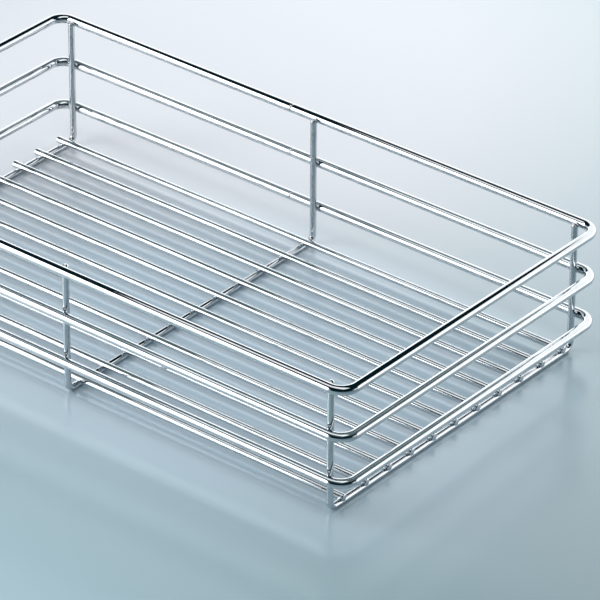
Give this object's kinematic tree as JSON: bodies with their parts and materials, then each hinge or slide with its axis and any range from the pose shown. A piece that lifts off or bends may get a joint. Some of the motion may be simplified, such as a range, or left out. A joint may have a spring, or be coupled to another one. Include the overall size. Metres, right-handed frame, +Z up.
{
  "type": "pull-out cabinet basket",
  "caption": "Open rectangular wire basket for a kitchen cabinet: closed rails round the outside, U-shaped cross frames inside them and a floor of straight lengthwise wires.",
  "frame": {"origin": "on the surface that the basket stands on, under the middle of its plan", "axes": "+X along the basket's length, towards the end nearest the camera on the right of the picture; +Y across it, towards the far long side; +Z up"},
  "size_m": [0.464, 0.263, 0.096],
  "materials": {
    "rail_chrome": "bright chrome plate on drawn steel wire",
    "frame_chrome": "bright chrome plate on drawn steel wire",
    "floor_chrome": "bright chrome plate on drawn steel wire"
  },
  "bodies": {
    "root": {"upper_rail": "rail_chrome", "middle_rail": "rail_chrome", "lower_rail": "rail_chrome", "left_u_frame": "frame_chrome", "middle_u_frame": "frame_chrome", "right_u_frame": "frame_chrome", "floor_wire_01": "floor_chrome", "floor_wire_02": "floor_chrome", "floor_wire_03": "floor_chrome", "floor_wire_04": "floor_chrome", "floor_wire_05": "floor_chrome", "floor_wire_06": "floor_chrome", "floor_wire_07": "floor_chrome", "floor_wire_08": "floor_chrome", "floor_wire_09": "floor_chrome", "floor_wire_10": "floor_chrome", "floor_wire_11": "floor_chrome"}
  },
  "joints": []
}
